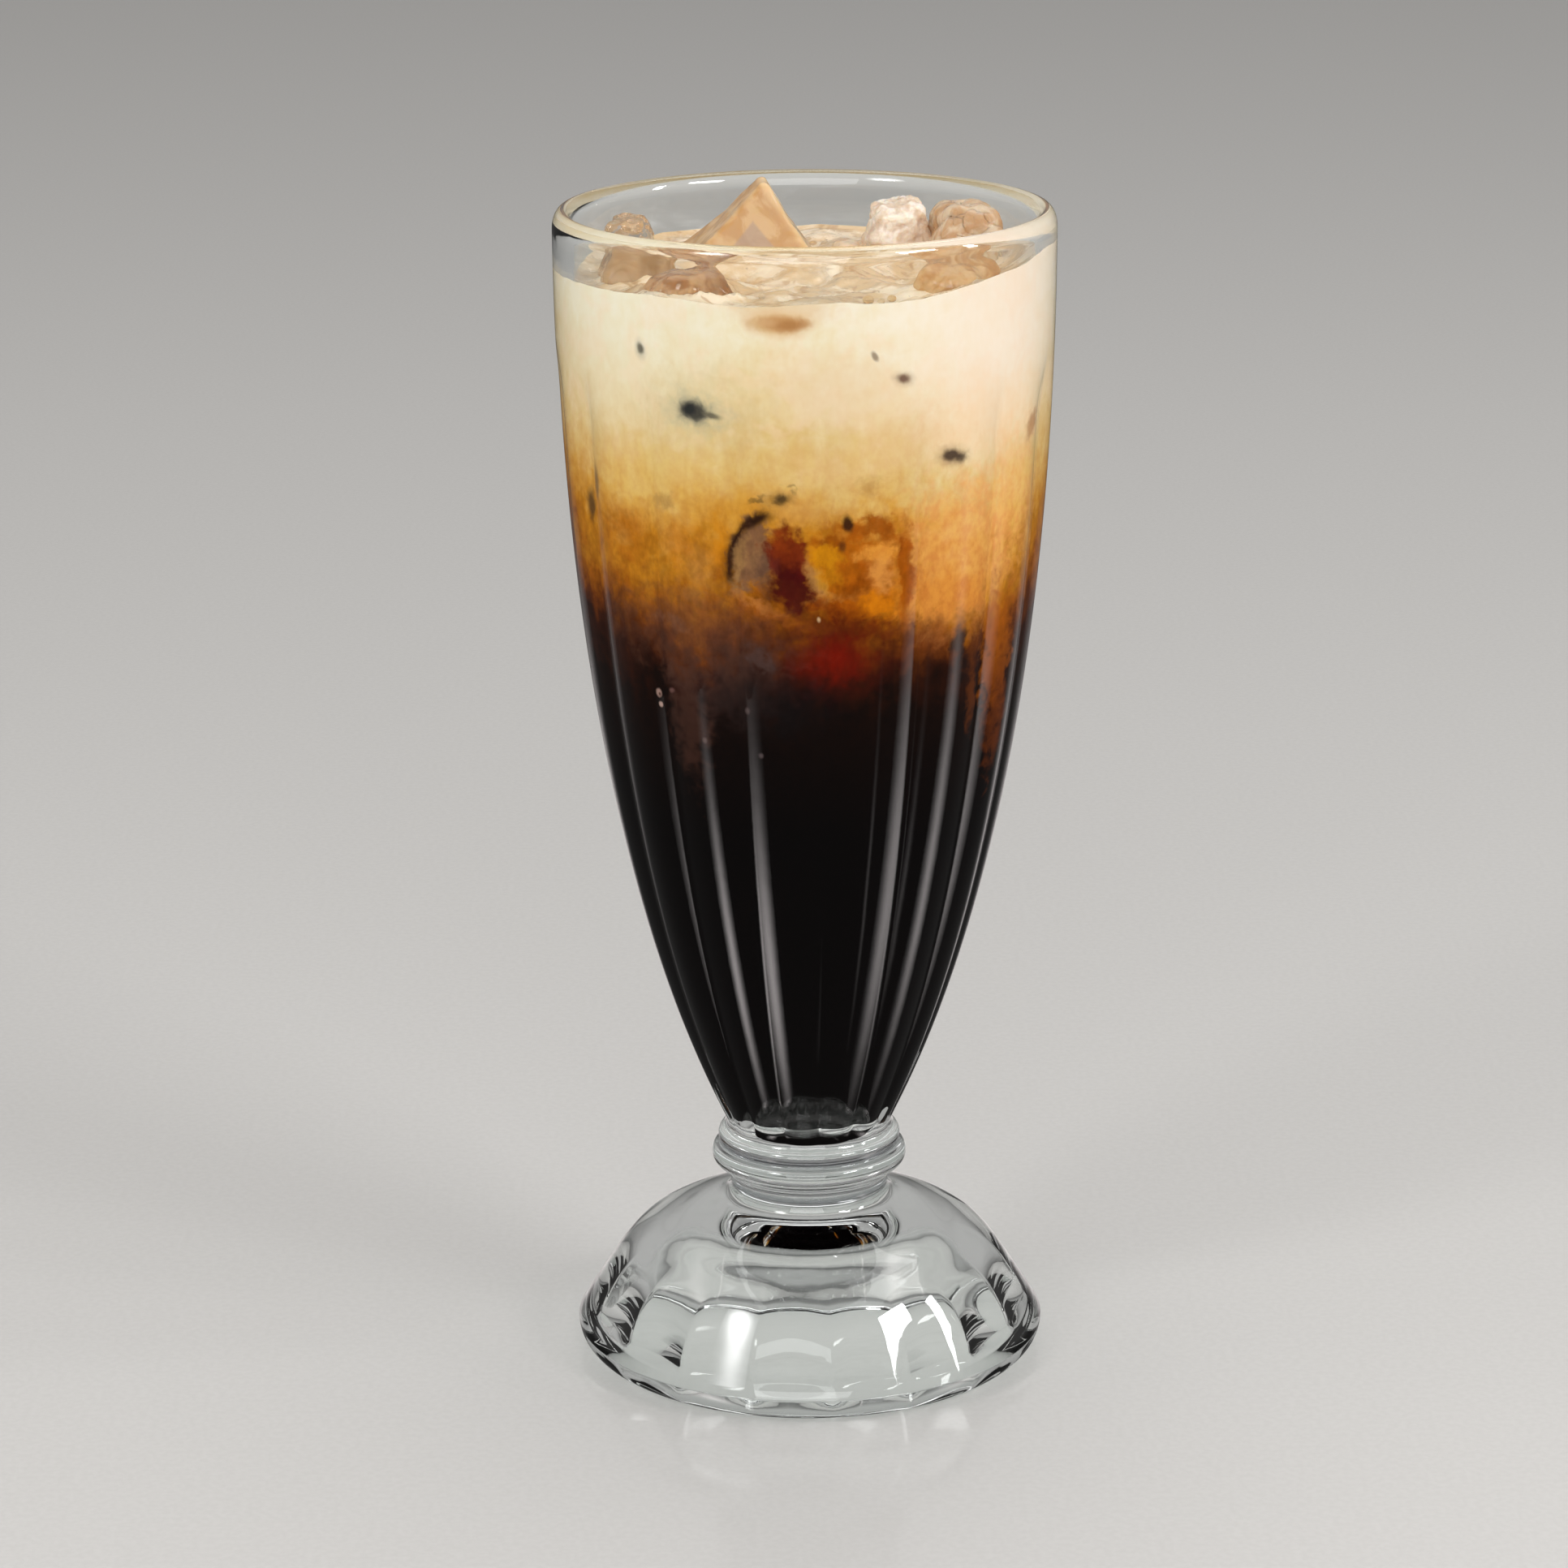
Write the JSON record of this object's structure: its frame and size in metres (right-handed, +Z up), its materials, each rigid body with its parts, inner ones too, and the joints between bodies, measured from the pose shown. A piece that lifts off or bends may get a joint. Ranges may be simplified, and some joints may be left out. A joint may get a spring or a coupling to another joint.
{
  "type": "iced coffee in a footed glass",
  "caption": "Layered iced coffee in a tall ribbed soda glass on a hollow foot: black coffee below, milk marbled into it, and ice standing out of the milk",
  "frame": {"origin": "middle of the round foot, on the surface the glass stands on", "axes": "+Z up along the glass's axis, -Y towards the side the picture shows, +X to the right in the picture"},
  "size_m": [0.08, 0.08, 0.1956],
  "materials": {
    "clear_glass": "clear pressed glass, glossy",
    "black_coffee": "black coffee, glossy liquid",
    "coffee_and_milk": "amber coffee with milk marbled through it",
    "milk": "cream-coloured milky coffee, satin liquid",
    "ice": "wet ice tinted by the coffee"
  },
  "bodies": {
    "root": {"glass": "clear_glass", "coffee": "black_coffee", "mixed_coffee": "coffee_and_milk", "milk": "milk", "ice_peak": "ice", "ice_frosted": "ice", "ice_amber_back": "ice", "ice_slab_right": "ice", "ice_amber_front": "ice", "ice_slab_left": "ice", "ice_clear_back": "ice", "ice_small": "ice"}
  },
  "joints": []
}
